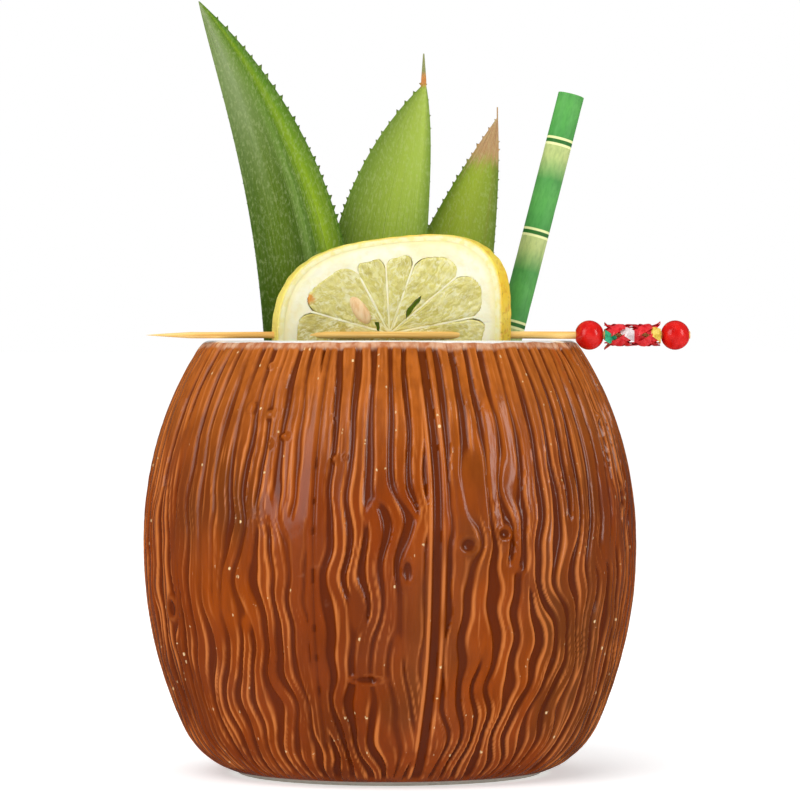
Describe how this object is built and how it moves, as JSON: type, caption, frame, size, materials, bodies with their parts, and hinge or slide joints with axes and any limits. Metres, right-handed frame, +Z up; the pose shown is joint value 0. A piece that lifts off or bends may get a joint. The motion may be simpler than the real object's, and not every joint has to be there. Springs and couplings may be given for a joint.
{
  "type": "tiki mug",
  "caption": "Coconut-shaped ceramic tiki mug with a flat base, dressed with a leaning paper straw, pineapple leaves and a lemon wheel on a beaded bamboo pick.",
  "frame": {"origin": "middle of the mug's flat base, on the mug's own axis", "axes": "+Z up along the mug's axis, +X to the right along the pick towards its beads, front towards -Y"},
  "size_m": [0.1213, 0.11, 0.1732],
  "materials": {
    "mug_glaze": "gloss",
    "straw_paper": "matte",
    "bamboo": "satin",
    "bead_red": "gloss",
    "strip_red": "gloss",
    "strip_green": "gloss",
    "strip_silver": "gloss",
    "strip_gold": "gloss",
    "lemon_peel": "satin",
    "lemon_pith": "matte",
    "lemon_pulp": "satin",
    "lemon_seed": "satin",
    "leaf_green": "satin"
  },
  "bodies": {
    "mug": {"mug_body": "mug_glaze"},
    "straw": {"paper_straw": "straw_paper"},
    "pick": {"pick_skewer": "bamboo", "bead_inner": "bead_red", "bead_outer": "bead_red", "braid_strip_red_1": "strip_red", "braid_strip_green": "strip_green", "braid_strip_red_2": "strip_red", "braid_strip_silver": "strip_silver", "braid_strip_red_3": "strip_red", "braid_strip_gold": "strip_gold", "braid_strip_red_4": "strip_red", "braid_strip_red_5": "strip_red"},
    "lemon": {"lemon_peel": "lemon_peel", "lemon_pith": "lemon_pith", "lemon_pulp_1": "lemon_pulp", "lemon_pulp_2": "lemon_pulp", "lemon_pulp_3": "lemon_pulp", "lemon_pulp_4": "lemon_pulp", "lemon_pulp_5": "lemon_pulp", "lemon_pulp_6": "lemon_pulp", "lemon_pulp_7": "lemon_pulp", "lemon_pulp_8": "lemon_pulp", "lemon_pulp_9": "lemon_pulp", "lemon_pulp_10": "lemon_pulp", "lemon_pulp_11": "lemon_pulp", "lemon_seed": "lemon_seed"},
    "leaf_tall": {"leaf_tall": "leaf_green"},
    "leaf_middle": {"leaf_middle": "leaf_green"},
    "leaf_short": {"leaf_short": "leaf_green"}
  },
  "joints": [
    {"name": "straw_lift", "type": "slide", "parent": "mug", "child": "straw", "axis": [0.249, 0.0659, 0.9663], "range_m": [0, 0.12]},
    {"name": "pick_lift", "type": "slide", "parent": "mug", "child": "pick", "axis": [0, 0, 1], "range_m": [0, 0.06]},
    {"name": "lemon_slide", "type": "slide", "parent": "pick", "child": "lemon", "axis": [1, 0, 0], "range_m": [-0.005, 0.005]},
    {"name": "leaf_tall_pull", "type": "slide", "parent": "mug", "child": "leaf_tall", "axis": [-0.0796, 0.0498, 0.9956], "range_m": [0, 0.12]},
    {"name": "leaf_middle_pull", "type": "slide", "parent": "mug", "child": "leaf_middle", "axis": [0.0499, 0.0499, 0.9975], "range_m": [0, 0.12]},
    {"name": "leaf_short_pull", "type": "slide", "parent": "mug", "child": "leaf_short", "axis": [0.0796, 0.0498, 0.9956], "range_m": [0, 0.12]}
  ]
}
